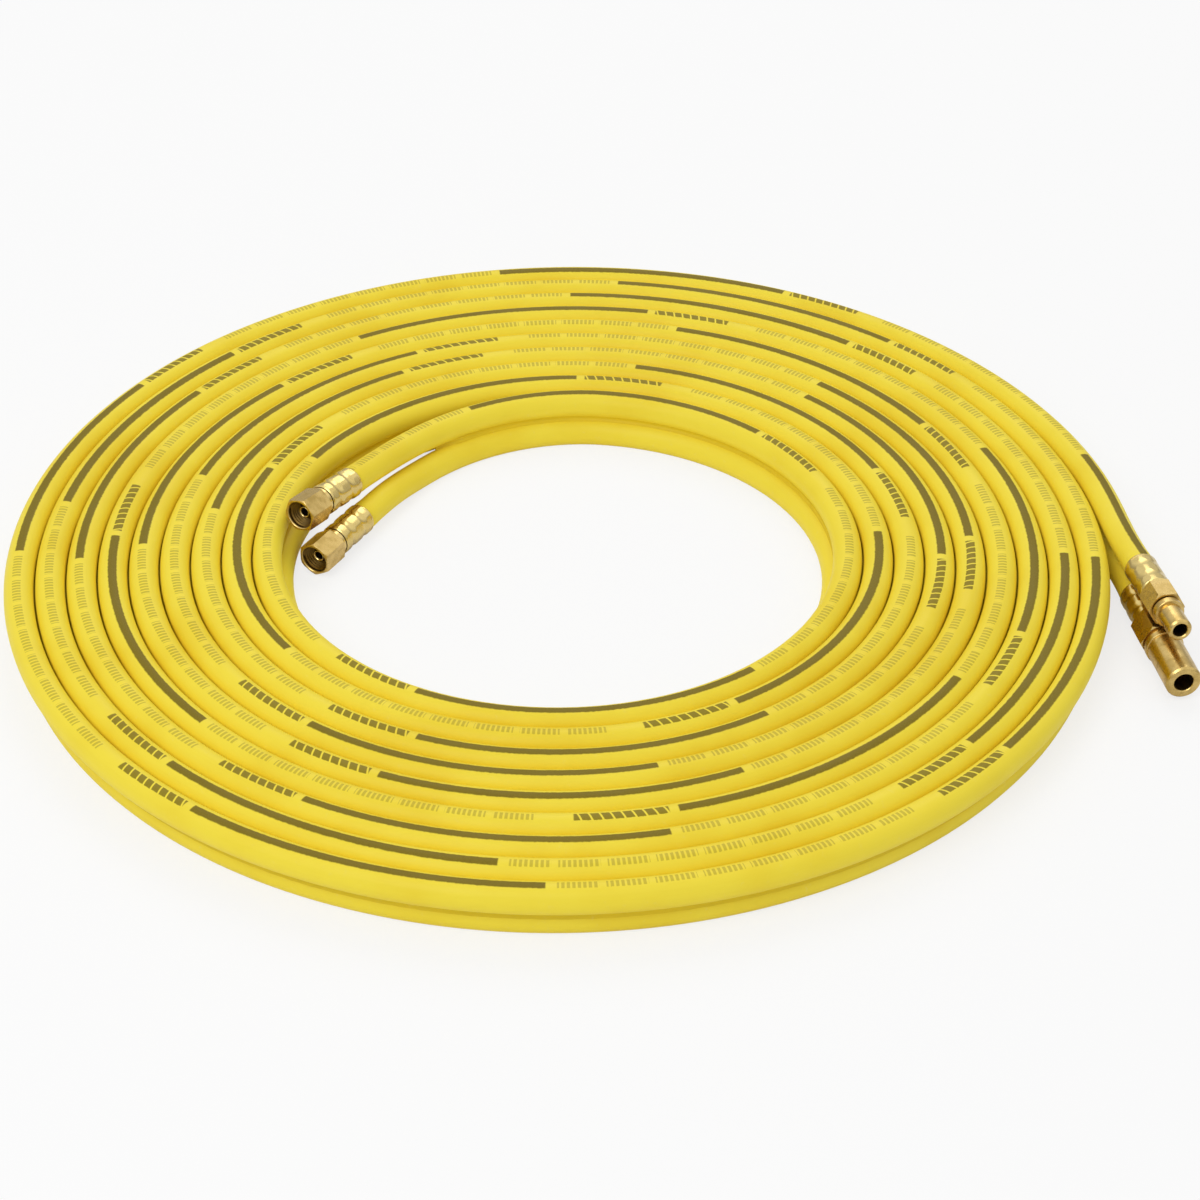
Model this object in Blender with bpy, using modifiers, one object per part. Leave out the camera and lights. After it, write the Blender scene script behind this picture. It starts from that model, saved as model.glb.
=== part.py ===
"""Coiled twin-line air hose with brass end fittings.

Two bonded rubber air lines, one above the other, are wound flat in a clockwise spiral. The inner end
carries two swivel-nut fittings side by side, the outer end two male fittings of unlike size.
Metres, +Z up. The origin is on the floor, in the middle of the whole footprint, so the coil's own centre
lies a little to one side of it. The swivel nuts open towards -Y.
"""

import math

import bmesh
import bpy
from mathutils import Matrix, Vector
from mathutils.geometry import interpolate_bezier

MM = 0.001

# ---- Hose lines --------------------------------------------------------------------------------
COIL_X = -11.7 * MM  # the coil's own centre, a little beside the middle of the whole footprint
COIL_Y = -2.6 * MM
COIL_CENTRE = Vector((COIL_X, COIL_Y, 0.0))
LINE_OD = 9.9 * MM  # outside diameter of one line
LINE_BORE = 5.8 * MM  # bore where a stem's tail sits in it
LINE_IN_FERRULE = 9.4 * MM  # diameter that the crimp leaves
FLAT_CUT = 1.0 * MM  # the lower line is flattened by this much where it lies on the floor
PITCH = 10.45 * MM  # from one turn to the next
START_RADIUS = 91.7 * MM  # upper line's centre at lap 0
START_ANGLE = math.radians(206.4)  # direction of lap 0
LEAN = 3.36 * MM  # the lower line lies nearer the coil's centre by this
LINE_RISE = 9.95 * MM  # height of the upper line's centre above the lower one's
LOWER_Z = LINE_OD / 2 - FLAT_CUT
UPPER_Z = LOWER_Z + LINE_RISE
POINTS_PER_LAP = 24

# ---- Lead-in: both lines leave the spiral towards its centre ------------------------------------
LEAD_IN_LAP = 0.26  # they begin to leave it here, going inwards
UPPER_SPREAD = 158.0 * MM  # how fast each line leaves it
LOWER_SPREAD = 188.0 * MM
UPPER_FREE_LAP = 0.13  # here each line heads for its own fitting
LOWER_FREE_LAP = 0.135
LEAD_OUT_LAP = 227 / POINTS_PER_LAP  # the outer end leaves the spiral here
RISE_LAP = 9.36  # and before that the upper line begins to rise from the lower one
UPPER_INNER_RISE = 0.78 * MM  # how much each line has risen where it leaves the spiral
LOWER_INNER_RISE = 0.25 * MM
UPPER_OUTER_RISE = 1.3 * MM

# ---- Bond web between the lines -----------------------------------------------------------------
WEB_WIDTH = 3.0 * MM
WEB_THICK = 0.62 * MM
WEB_FIRST_LAP = 0.147
WEB_LAST_LAP = 9.4

# ---- Fitting positions -----------------------------------------------------------------------------
# Each mouth has a direction from the coil's centre, a distance outside one turn's centre line, and a
# height. The aim points from the mouth towards the hose.
UPPER_INNER_SIDE = math.radians(203.4515)
UPPER_INNER_OUTWARD = 0.517 * MM  # from the innermost turn
UPPER_INNER_HEIGHT = 20.4 * MM
UPPER_INNER_AIM = Vector((0.045, 1.0, -0.09))
LOWER_INNER_SIDE = math.radians(207.6849)
LOWER_INNER_OUTWARD = -4.745 * MM
LOWER_INNER_HEIGHT = 6.55 * MM
LOWER_INNER_AIM = Vector((0.0, 1.0, 0.0))
UPPER_OUTER_SIDE = math.radians(12.657)
UPPER_OUTER_OUTWARD = 19.191 * MM  # from the outermost turn, where the lines leave it
HEXAGONS_APART = 0.26 * MM  # the upper fitting rides over the lower one by this much
UPPER_OUTER_AIM = Vector((-0.617, 0.784, -0.0766))
LOWER_OUTER_SIDE = math.radians(10.2641)
LOWER_OUTER_OUTWARD = 23.282 * MM
LOWER_OUTER_HEIGHT = 7.0 * MM
LOWER_OUTER_AIM = Vector((-0.6165, 0.787, -0.0152))

# ---- Clearances -----------------------------------------------------------------------------------
GAP = 0.3 * MM  # between pieces that touch on the real hose
FREE_GAP = 0.5 * MM  # between the nut and the stem it turns on

# ---- Shared by all four fittings ------------------------------------------------------------------
TAIL_BORE = 3.0 * MM
TAIL_RADIUS = LINE_BORE / 2 - GAP
TAIL_ROOT = 2.2 * MM
BARB_PITCH = 3.6 * MM
BARBS = 4
NECK_RADIUS = 3.2 * MM
LIP = 1.2 * MM  # ferrule's inward lip
FERRULE_BORE = LINE_IN_FERRULE / 2 + GAP
CRIMP_DEPTH = 0.4 * MM
CRIMP_HALF_WIDTH = 1.8 * MM
CRIMPS = 2

# ---- Swivel-nut fittings (inner end) --------------------------------------------------------------
NUT_ACROSS_FLATS = 11.1 * MM
NUT_LENGTH = 11.0 * MM
NUT_CHAMFER = 0.75 * MM
UPPER_NUT_TURN = math.radians(16)  # how each nut happens to stand; 0 has a corner at the top
LOWER_NUT_TURN = 0.0
THREAD_MINOR = 8.4 * MM
THREAD_LEAD = 0.6 * MM
NOSE_TIP = 2.8 * MM  # the cone's tip lies this far inside the mouth
NOSE_LENGTH = 3.0 * MM
NOSE_TIP_RADIUS = 1.9 * MM
COLLAR_RADIUS = 3.7 * MM
COLLAR_END = 7.4 * MM
THREAD_DEPTH = COLLAR_END + FREE_GAP
SWIVEL_NECK = 2.75 * MM
NUT_NECK_HOLE = SWIVEL_NECK + FREE_GAP
FLANGE_START = NUT_LENGTH + FREE_GAP
FLANGE_RADIUS = 5.0 * MM
FLANGE_THICK = 1.5 * MM
FLANGE_END = FLANGE_START + FLANGE_THICK
INNER_FERRULE_START = FLANGE_END + GAP
INNER_FERRULE_LENGTH = 16.7 * MM
INNER_FERRULE_END = INNER_FERRULE_START + INNER_FERRULE_LENGTH
INNER_FERRULE_RADIUS = 5.55 * MM

# ---- Upper male fitting (outer end) ---------------------------------------------------------------
UPPER_SPIGOT = 8.1 * MM
UPPER_SPIGOT_LENGTH = 10.8 * MM
UPPER_RING = 10.0 * MM
UPPER_RING_LENGTH = 2.7 * MM
UPPER_BORE = 4.6 * MM
UPPER_HEX = 11.1 * MM
UPPER_GROOVE = 0.5 * MM  # between the ring and the hexagon
UPPER_HEX_LENGTH = 10.0 * MM
UPPER_FERRULE_LENGTH = 17.2 * MM
UPPER_HEX_START = UPPER_SPIGOT_LENGTH + UPPER_RING_LENGTH + UPPER_GROOVE
UPPER_HEX_END = UPPER_HEX_START + UPPER_HEX_LENGTH
UPPER_LENGTH = UPPER_HEX_END + GAP + UPPER_FERRULE_LENGTH

# ---- Lower male fitting (outer end) ---------------------------------------------------------------
LOWER_SPIGOT = 12.0 * MM
LOWER_SPIGOT_LENGTH = 19.8 * MM
LOWER_RING = 12.9 * MM
LOWER_RING_LENGTH = 2.4 * MM
LOWER_BORE = 5.6 * MM
LOWER_HEX = 12.7 * MM
LOWER_GROOVE = 1.2 * MM
LOWER_HEX_LENGTH = 11.2 * MM
LOWER_FERRULE_LENGTH = 16.6 * MM
LOWER_HEX_START = LOWER_SPIGOT_LENGTH + LOWER_RING_LENGTH + LOWER_GROOVE
LOWER_HEX_END = LOWER_HEX_START + LOWER_HEX_LENGTH
LOWER_LENGTH = LOWER_HEX_END + GAP + LOWER_FERRULE_LENGTH
OUTER_FERRULE_RADIUS = 5.65 * MM

HOSE_YELLOW = (0.82, 0.66, 0.04, 1.0)
WEB_YELLOW = (0.60, 0.45, 0.02, 1.0)
BRASS = (0.62, 0.44, 0.16, 1.0)
FERRULE_BRASS = (0.68, 0.52, 0.22, 1.0)


# ---- Scene helpers --------------------------------------------------------------------------------
def clear_scene():
    for obj in list(bpy.data.objects):
        bpy.data.objects.remove(obj)


def new_collection(name):
    group = bpy.data.collections.new(name)
    bpy.context.scene.collection.children.link(group)
    return group


def new_material(name, colour, roughness, metallic):
    material = bpy.data.materials.new(name)
    material.use_nodes = True
    shader = material.node_tree.nodes["Principled BSDF"]
    shader.inputs["Base Color"].default_value = colour
    shader.inputs["Roughness"].default_value = roughness
    shader.inputs["Metallic"].default_value = metallic
    material.diffuse_color = colour
    return material


def add_object(name, data, group, parent=None):
    obj = bpy.data.objects.new(name, data)
    group.objects.link(obj)
    obj.parent = parent
    return obj


def fitting_frame(name, mouth, aim):
    """An empty at a fitting's mouth, its +Z along the axis towards the hose and its Y upwards."""
    frame = add_object(name, None, PARTS)
    frame.location = mouth
    frame.rotation_euler = aim.to_track_quat("Z", "Y").to_euler()
    frame.empty_display_size = 0.01
    return frame


# ---- Routes ---------------------------------------------------------------------------------------
def spiral(lap, inward, height):
    """Point of the spiral at this lap, moved towards the coil's centre by inward."""
    angle = START_ANGLE - 2 * math.pi * lap
    radius = START_RADIUS + PITCH * lap - inward
    return COIL_CENTRE + Vector((radius * math.cos(angle), radius * math.sin(angle), height))


def lead_in(lap, spread):
    return spread * max(0.0, LEAD_IN_LAP - lap) ** 1.5


def upper_at(lap):
    lift = UPPER_INNER_RISE * (max(0.0, 0.183 - lap) / 0.053) ** 2
    lift += UPPER_OUTER_RISE * (max(0.0, lap - RISE_LAP) / 0.098) ** 2
    return spiral(lap, lead_in(lap, UPPER_SPREAD), UPPER_Z + lift)


def lower_at(lap):
    lift = LOWER_INNER_RISE * (max(0.0, 0.17 - lap) / 0.035) ** 2
    return spiral(lap, LEAN + lead_in(lap, LOWER_SPREAD), LOWER_Z + lift)


def mouth_at(side, lap, outward, height):
    """A fitting's mouth, so far outside the turn that passes at this lap."""
    radius = START_RADIUS + PITCH * lap + outward
    return COIL_CENTRE + Vector((radius * math.cos(side), radius * math.sin(side), height))


def laps_between(first, last):
    """The first and last lap and every whole step between them."""
    step = 1 / POINTS_PER_LAP
    whole = [step * k for k in range(math.ceil(first / step + 0.3), math.ceil(last / step - 0.3))]
    return [first] + whole + [last]


def heading(line_at, lap):
    return (line_at(lap + 0.002) - line_at(lap - 0.002)).normalized()


def blend(start, start_heading, end, end_heading, count):
    """Points of a smooth curve between two points, without the two ends."""
    reach = (end - start).length * 0.36
    handle_a = start + start_heading * reach
    handle_b = end - end_heading * reach
    return interpolate_bezier(start, handle_a, handle_b, end, count + 2)[1:-1]


def along(frame, distance):
    return frame["mouth"] + frame["aim"] * distance


def line_route(line_at, inner, outer, free_lap):
    """Centre points from the hose's end in the inner ferrule to its end in the outer ferrule."""
    points = [along(inner, inner["hose_end"]), along(inner, inner["ferrule_end"] + 0.6 * MM)]
    points.append(along(inner, inner["ferrule_end"] + 2.0 * MM))
    start = along(inner, inner["ferrule_end"] + LINE_OD)
    first = line_at(free_lap)
    points.append(start)
    points += blend(start, inner["aim"], first, heading(line_at, free_lap), 1)
    points += [line_at(lap) for lap in laps_between(free_lap, LEAD_OUT_LAP)]
    last = along(outer, outer["ferrule_end"] + LINE_OD)
    points += blend(points[-1], heading(line_at, LEAD_OUT_LAP), last, -outer["aim"], 2)
    points.append(last)
    points.append(along(outer, outer["ferrule_end"] + 2.0 * MM))
    points += [along(outer, outer["ferrule_end"] + 0.6 * MM), along(outer, outer["hose_end"])]
    return points


def closest_approach(points):
    """Least gap between the tube's own turns, measured on its centre points."""
    least = 1.0
    for i, point in enumerate(points):
        for j in range(i + POINTS_PER_LAP // 2, len(points) - 1):
            a = points[j]
            b = points[j + 1]
            share = (point - a).dot(b - a) / (b - a).length_squared
            near = a.lerp(b, min(1.0, max(0.0, share)))
            least = min(least, (point - near).length)
    return least - LINE_OD


# ---- Shapes ---------------------------------------------------------------------------------------
def tube(name, points, radii, material):
    """An unbroken six-sided tube along the points, made into a mesh with welded caps."""
    curve = bpy.data.curves.new(name, "CURVE")
    curve.dimensions = "3D"
    curve.twist_mode = "Z_UP"
    curve.bevel_depth = LINE_OD / 2
    curve.bevel_resolution = 1
    curve.use_fill_caps = True
    line = curve.splines.new("POLY")
    line.points.add(len(points) - 1)
    for place, point, radius in zip(line.points, points, radii):
        place.co = (*point, 1.0)
        place.radius = radius / (LINE_OD / 2)
    guide = add_object(name + "_route", curve, PARTS)
    return as_mesh(guide, name, material)


def as_mesh(guide, name, material):
    bpy.context.view_layer.update()
    graph = bpy.context.evaluated_depsgraph_get()
    mesh = bpy.data.meshes.new_from_object(guide.evaluated_get(graph))
    mesh.name = name
    shape = bmesh.new()
    shape.from_mesh(mesh)
    bmesh.ops.remove_doubles(shape, verts=shape.verts, dist=0.00001)
    bmesh.ops.recalc_face_normals(shape, faces=shape.faces)
    shape.to_mesh(mesh)
    shape.free()
    mesh.materials.clear()
    mesh.materials.append(material)
    obj = add_object(name, mesh, PARTS)
    obj.matrix_world = guide.matrix_world
    bpy.data.objects.remove(guide)
    return obj


def turned(name, profile, group, parent, material=None, steps=24):
    """A ring turned about its own Z. The profile is a closed loop of (height, radius), seen at +X."""
    shape = bmesh.new()
    corners = [shape.verts.new((radius, 0.0, height)) for height, radius in profile]
    for a, b in zip(corners, corners[1:] + corners[:1]):
        shape.edges.new((a, b))
    mesh = bpy.data.meshes.new(name)
    shape.to_mesh(mesh)
    shape.free()
    obj = add_object(name, mesh, group, parent)
    screw = obj.modifiers.new("Turn", "SCREW")
    screw.steps = steps
    screw.render_steps = steps
    screw.use_merge_vertices = True
    screw.merge_threshold = 0.00001
    if material:
        mesh.materials.append(material)
    return obj


def prism(name, radius, low, high, sides, parent, turn=0.0):
    """A closed cylinder or hexagonal bar along its parent's Z, kept as a cutter."""
    shape = bmesh.new()
    place = Matrix.Translation((0, 0, (low + high) / 2)) @ Matrix.Rotation(turn, 4, "Z")
    bmesh.ops.create_cone(
        shape,
        cap_ends=True,
        segments=sides,
        radius1=radius,
        radius2=radius,
        depth=high - low,
        matrix=place,
    )
    mesh = bpy.data.meshes.new(name)
    shape.to_mesh(mesh)
    shape.free()
    obj = add_object(name, mesh, CUTTERS, parent)
    obj.hide_render = True
    obj.display_type = "WIRE"
    return obj


def cut(obj, cutter, operation="DIFFERENCE"):
    boolean = obj.modifiers.new(cutter.name, "BOOLEAN")
    boolean.operation = operation
    boolean.object = cutter
    boolean.solver = "EXACT"


def hexagon(name, across_flats, low, high, parent, turn):
    return prism(name, across_flats / math.sqrt(3), low, high, 6, parent, turn)


def flats_cutter(name, across_flats, low, high, parent, turn):
    """What is milled away from a round bar to leave a hexagon."""
    block = prism(name, across_flats, low, high, 24, parent)
    cut(block, hexagon(name + "_core", across_flats, low - MM, high + MM, parent, turn))
    return block


def shade(obj):
    obj.data.shade_smooth()
    obj.data.set_sharp_from_angle(angle=math.radians(35))


# ---- Fitting profiles: the outer side is listed from the hose end down to the mouth -----------------
def barbed_tail(start):
    """Outline of the tail from its far end back to its root, as (height, radius)."""
    outline = []
    for barb in reversed(range(BARBS)):
        low = start + barb * BARB_PITCH
        outline.append((low + BARB_PITCH - 0.2 * MM, TAIL_ROOT))
        outline.append((low + 0.2 * MM, TAIL_RADIUS))
    return outline


def stem_profile():
    """Stem of a swivel-nut fitting: cone nose, collar, swivel neck, flange and barbed tail."""
    outer = barbed_tail(INNER_FERRULE_START + LIP + GAP)
    outer += [(INNER_FERRULE_START + LIP, NECK_RADIUS), (FLANGE_END, NECK_RADIUS)]
    outer += [(FLANGE_END, FLANGE_RADIUS), (FLANGE_START, FLANGE_RADIUS)]
    outer += [(FLANGE_START, SWIVEL_NECK), (COLLAR_END, SWIVEL_NECK), (COLLAR_END, COLLAR_RADIUS)]
    outer += [(NOSE_TIP + NOSE_LENGTH, COLLAR_RADIUS), (NOSE_TIP, NOSE_TIP_RADIUS)]
    bore = TAIL_BORE / 2
    return outer + [(NOSE_TIP, bore), (outer[0][0], bore)]


def nut_profile():
    """Swivel nut before its flats are cut: chamfered both ends, threaded bore, inner shoulder."""
    corner = NUT_ACROSS_FLATS / math.sqrt(3) + 0.05 * MM
    face = corner - NUT_CHAMFER
    thread = THREAD_MINOR / 2
    step = 0.45 * MM
    outer = [(NUT_LENGTH, face), (NUT_LENGTH - step, corner), (step, corner), (0.0, face)]
    lead = [(0.0, thread + THREAD_LEAD), (THREAD_LEAD, thread), (THREAD_DEPTH, thread)]
    shoulder = THREAD_DEPTH + thread - NUT_NECK_HOLE
    return outer + lead + [(shoulder, NUT_NECK_HOLE), (NUT_LENGTH, NUT_NECK_HOLE)]


def ferrule_profile(start, end, radius):
    """Crimped ferrule with an inward lip at its fitting end and rounded crimp grooves."""
    edge = 0.5 * MM
    outer = [(end, radius - edge), (end - edge, radius)]
    room = end - start - 3.0 * MM
    for crimp in reversed(range(CRIMPS)):
        middle = start + 1.5 * MM + room * (crimp + 0.5) / CRIMPS
        outer.append((middle + CRIMP_HALF_WIDTH, radius))
        outer += [(middle, radius - CRIMP_DEPTH), (middle - CRIMP_HALF_WIDTH, radius)]
    outer += [(start + edge, radius), (start, radius - edge)]
    lip = NECK_RADIUS + GAP
    return outer + [(start, lip), (start + LIP, lip), (start + LIP, FERRULE_BORE), (end, FERRULE_BORE)]


def male_profile(spigot, spigot_length, ring, ring_length, bore, hex_flats, hex_start, hex_end):
    """Male body before its flats are cut: spigot, ring, hexagon and barbed tail."""
    corner = hex_flats / math.sqrt(3) + 0.05 * MM
    face = corner - NUT_CHAMFER
    step = 0.45 * MM
    neck = spigot - 0.6 * MM
    outer = barbed_tail(hex_end + GAP + LIP + GAP)
    outer += [(hex_end + GAP + LIP, NECK_RADIUS), (hex_end, NECK_RADIUS)]
    outer += [(hex_end, face), (hex_end - step, corner), (hex_start + step, corner), (hex_start, face)]
    outer += [(hex_start, neck), (spigot_length + ring_length, neck)]
    outer += [(spigot_length + ring_length, ring), (spigot_length, ring), (spigot_length, spigot)]
    outer += [(0.7 * MM, spigot), (0.0, spigot - 0.7 * MM)]
    tail = TAIL_BORE / 2
    lead = [(0.0, bore + 0.5 * MM), (0.6 * MM, bore), (hex_start, bore), (hex_start + 1.5 * MM, tail)]
    return outer + lead + [(outer[0][0], tail)]


# ---- Pieces ---------------------------------------------------------------------------------------
def inner_fitting(prefix, mouth, aim, nut_turn):
    """Swivel nut, stem and ferrule at the coil's inner end."""
    frame = fitting_frame(prefix + "_inner_fitting", mouth, aim)
    nut = turned(prefix + "_swivel_nut", nut_profile(), PARTS, frame, BRASS_FINISH)
    flats = hexagon(prefix + "_nut_flats", NUT_ACROSS_FLATS, -MM, NUT_LENGTH + MM, frame, nut_turn)
    cut(nut, flats, "INTERSECT")
    stem = turned(prefix + "_female_stem", stem_profile(), PARTS, frame, BRASS_FINISH, 20)
    outline = ferrule_profile(INNER_FERRULE_START, INNER_FERRULE_END, INNER_FERRULE_RADIUS)
    ferrule = turned(prefix + "_female_ferrule", outline, PARTS, frame, FERRULE_FINISH, 20)
    for piece in (nut, stem, ferrule):
        shade(piece)
    hose_end = INNER_FERRULE_START + LIP + GAP
    return hose_place(frame, mouth, aim, hose_end, INNER_FERRULE_END)


def outer_fitting(prefix, mouth, aim, profile, hex_flats, hex_start, hex_end, length):
    """Male body and ferrule at the coil's outer end."""
    frame = fitting_frame(prefix + "_outer_fitting", mouth, aim)
    body = turned(prefix + "_male_body", profile, PARTS, frame, BRASS_FINISH)
    low = hex_start - 0.1 * MM
    high = hex_end + 0.1 * MM
    cut(body, flats_cutter(prefix + "_body_flats", hex_flats, low, high, frame, math.radians(30)))
    outline = ferrule_profile(hex_end + GAP, length, OUTER_FERRULE_RADIUS)
    ferrule = turned(prefix + "_male_ferrule", outline, PARTS, frame, FERRULE_FINISH, 20)
    for piece in (body, ferrule):
        shade(piece)
    hose_end = hex_end + GAP + LIP + GAP
    return hose_place(frame, mouth, aim, hose_end, length)


def hose_place(frame, mouth, aim, hose_end, ferrule_end):
    """Where the hose enters this fitting, and the cutter that bores its end."""
    depth = BARBS * BARB_PITCH + 1.5 * MM
    name = frame.name + "_hose_bore"
    bore = prism(name, LINE_BORE / 2, hose_end - MM, hose_end + depth, 16, frame)
    direction = aim.normalized()
    return {"mouth": mouth, "aim": direction, "hose_end": hose_end, "ferrule_end": ferrule_end, "bore": bore}


def hose_line(name, line_at, inner, outer, free_lap, material):
    points = line_route(line_at, inner, outer, free_lap)
    squeezed = LINE_IN_FERRULE / 2
    radii = [LINE_OD / 2] * len(points)
    radii[0] = radii[1] = squeezed
    radii[-1] = radii[-2] = squeezed
    line = tube(name, points, radii, material)
    cut(line, inner["bore"])
    cut(line, outer["bore"])
    length = sum((b - a).length for a, b in zip(points, points[1:]))
    gap = closest_approach(points)
    print(f"{name}: {len(points)} points, {length:.3f} m long, least gap to itself {gap * 1000:.2f} mm")
    return line


def floor_cutter():
    """The flat that the lower line lies on."""
    shape = bmesh.new()
    place = Matrix.Translation((0, 0, -0.005)) @ Matrix.Diagonal((0.6, 0.6, 0.01, 1.0))
    bmesh.ops.create_cube(shape, size=1.0, matrix=place)
    mesh = bpy.data.meshes.new("floor_flat")
    shape.to_mesh(mesh)
    shape.free()
    obj = add_object("floor_flat", mesh, CUTTERS)
    obj.hide_render = True
    obj.display_type = "WIRE"
    return obj


def web_section():
    """The web's flat cross-section, swept along the coil."""
    curve = bpy.data.curves.new("web_section", "CURVE")
    curve.dimensions = "2D"
    line = curve.splines.new("POLY")
    line.points.add(3)
    half_wide = WEB_WIDTH / 2
    half_thick = WEB_THICK / 2
    corners = [(-half_wide, -half_thick), (half_wide, -half_thick), (half_wide, half_thick)]
    corners.append((-half_wide, half_thick))
    for place, corner in zip(line.points, corners):
        place.co = (*corner, 0.0, 1.0)
    line.use_cyclic_u = True
    obj = add_object("web_section", curve, CUTTERS)
    obj.hide_render = True
    obj.display_type = "WIRE"
    return obj


def bond_web(material):
    """The thin strip that holds the two lines together."""
    curve = bpy.data.curves.new("bond_web", "CURVE")
    curve.dimensions = "3D"
    curve.twist_mode = "Z_UP"
    curve.bevel_mode = "OBJECT"
    curve.bevel_object = web_section()
    curve.use_fill_caps = True
    laps = laps_between(WEB_FIRST_LAP, WEB_LAST_LAP)
    line = curve.splines.new("POLY")
    line.points.add(len(laps) - 1)
    for place, lap in zip(line.points, laps):
        place.co = (*((upper_at(lap) + lower_at(lap)) / 2), 1.0)
    return as_mesh(add_object("bond_web_route", curve, PARTS), "bond_web", material)


# ---- Build ----------------------------------------------------------------------------------------
clear_scene()
PARTS = new_collection("twin_line_air_hose")
CUTTERS = new_collection("cutters")
CUTTERS.hide_render = True
HOSE_FINISH = new_material("hose_rubber_yellow", HOSE_YELLOW, 0.45, 0.0)
WEB_FINISH = new_material("web_rubber_yellow", WEB_YELLOW, 0.6, 0.0)
BRASS_FINISH = new_material("brass_turned", BRASS, 0.3, 1.0)
FERRULE_FINISH = new_material("brass_crimped", FERRULE_BRASS, 0.35, 1.0)

upper_inner_mouth = mouth_at(UPPER_INNER_SIDE, 0, UPPER_INNER_OUTWARD, UPPER_INNER_HEIGHT)
lower_inner_mouth = mouth_at(LOWER_INNER_SIDE, 0, LOWER_INNER_OUTWARD, LOWER_INNER_HEIGHT)
upper_outer_height = LOWER_OUTER_HEIGHT + (UPPER_HEX + LOWER_HEX) / math.sqrt(3) + HEXAGONS_APART
upper_outer_mouth = mouth_at(UPPER_OUTER_SIDE, LEAD_OUT_LAP, UPPER_OUTER_OUTWARD, upper_outer_height)
lower_outer_mouth = mouth_at(LOWER_OUTER_SIDE, LEAD_OUT_LAP, LOWER_OUTER_OUTWARD, LOWER_OUTER_HEIGHT)
upper_inner = inner_fitting("upper", upper_inner_mouth, UPPER_INNER_AIM, UPPER_NUT_TURN)
lower_inner = inner_fitting("lower", lower_inner_mouth, LOWER_INNER_AIM, LOWER_NUT_TURN)

upper_outline = male_profile(
    UPPER_SPIGOT / 2,
    UPPER_SPIGOT_LENGTH,
    UPPER_RING / 2,
    UPPER_RING_LENGTH,
    UPPER_BORE / 2,
    UPPER_HEX,
    UPPER_HEX_START,
    UPPER_HEX_END,
)
upper_outer = outer_fitting(
    "upper",
    upper_outer_mouth,
    UPPER_OUTER_AIM,
    upper_outline,
    UPPER_HEX,
    UPPER_HEX_START,
    UPPER_HEX_END,
    UPPER_LENGTH,
)
lower_outline = male_profile(
    LOWER_SPIGOT / 2,
    LOWER_SPIGOT_LENGTH,
    LOWER_RING / 2,
    LOWER_RING_LENGTH,
    LOWER_BORE / 2,
    LOWER_HEX,
    LOWER_HEX_START,
    LOWER_HEX_END,
)
lower_outer = outer_fitting(
    "lower",
    lower_outer_mouth,
    LOWER_OUTER_AIM,
    lower_outline,
    LOWER_HEX,
    LOWER_HEX_START,
    LOWER_HEX_END,
    LOWER_LENGTH,
)

upper_line = hose_line("upper_hose_line", upper_at, upper_inner, upper_outer, UPPER_FREE_LAP, HOSE_FINISH)
lower_line = hose_line("lower_hose_line", lower_at, lower_inner, lower_outer, LOWER_FREE_LAP, HOSE_FINISH)
cut(lower_line, floor_cutter())
web = bond_web(WEB_FINISH)
for rubber in (upper_line, lower_line):
    shade(rubber)
bpy.context.view_layer.update()
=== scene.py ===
# %% [markdown]
# # A coiled twin-line air hose with brass ends
# Two yellow rubber air lines are bonded one on top of the other and wound flat on the floor.
# The inner end carries two fittings with swivel nuts, the outer end two plain male fittings.
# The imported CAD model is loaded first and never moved: every piece below is modelled around it,
# and rides on one of its bodies, so that the two nuts can turn.

import math

import bpy
from mathutils import Matrix, Vector
from mathutils.geometry import interpolate_bezier


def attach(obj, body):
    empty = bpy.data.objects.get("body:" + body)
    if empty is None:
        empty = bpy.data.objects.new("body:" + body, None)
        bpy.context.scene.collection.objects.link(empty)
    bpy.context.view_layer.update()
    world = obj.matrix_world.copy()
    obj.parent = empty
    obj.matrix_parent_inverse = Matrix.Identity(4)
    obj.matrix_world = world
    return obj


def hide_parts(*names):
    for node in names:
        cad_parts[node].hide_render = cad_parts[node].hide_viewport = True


MM = 0.001
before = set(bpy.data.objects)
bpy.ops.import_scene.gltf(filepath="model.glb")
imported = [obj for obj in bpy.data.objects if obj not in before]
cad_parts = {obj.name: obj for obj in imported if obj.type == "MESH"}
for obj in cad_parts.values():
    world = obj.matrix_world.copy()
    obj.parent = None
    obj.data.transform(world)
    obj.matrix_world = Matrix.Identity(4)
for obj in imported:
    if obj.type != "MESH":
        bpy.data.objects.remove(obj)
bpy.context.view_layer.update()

# %% [markdown]
# ## Camera
# The photograph was taken from the front right, about 35 degrees above the floor and a metre away.
# The camera's place, turn and lens were worked out from the coil's own ellipses, so it is written
# down as numbers. A long lens keeps the coil's circles close to true ellipses.

# %% Place the camera
bpy.ops.object.camera_add(location=(0.39905, -0.71404, 0.57210))
camera = bpy.context.object
camera.name = "photo_camera"
camera.rotation_euler = (math.radians(54.73), 0.0, math.radians(29.16))
camera.data.lens = 86.63
camera.data.sensor_width = 36.0
bpy.context.scene.camera = camera
print("camera lens", camera.data.lens, "mm")

# %% [markdown]
# ## The path of the coil
# A hose wound flat is a spiral: the radius grows by one pitch each turn. The two lines are bonded,
# so they share the spiral. The upper line lies straight above, and the lower one leans a little
# towards the coil's centre. At both ends the lines leave the spiral for their own fittings.
# The numbers repeat those of the CAD source, because a cord has to lie where its solid lies.

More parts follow.
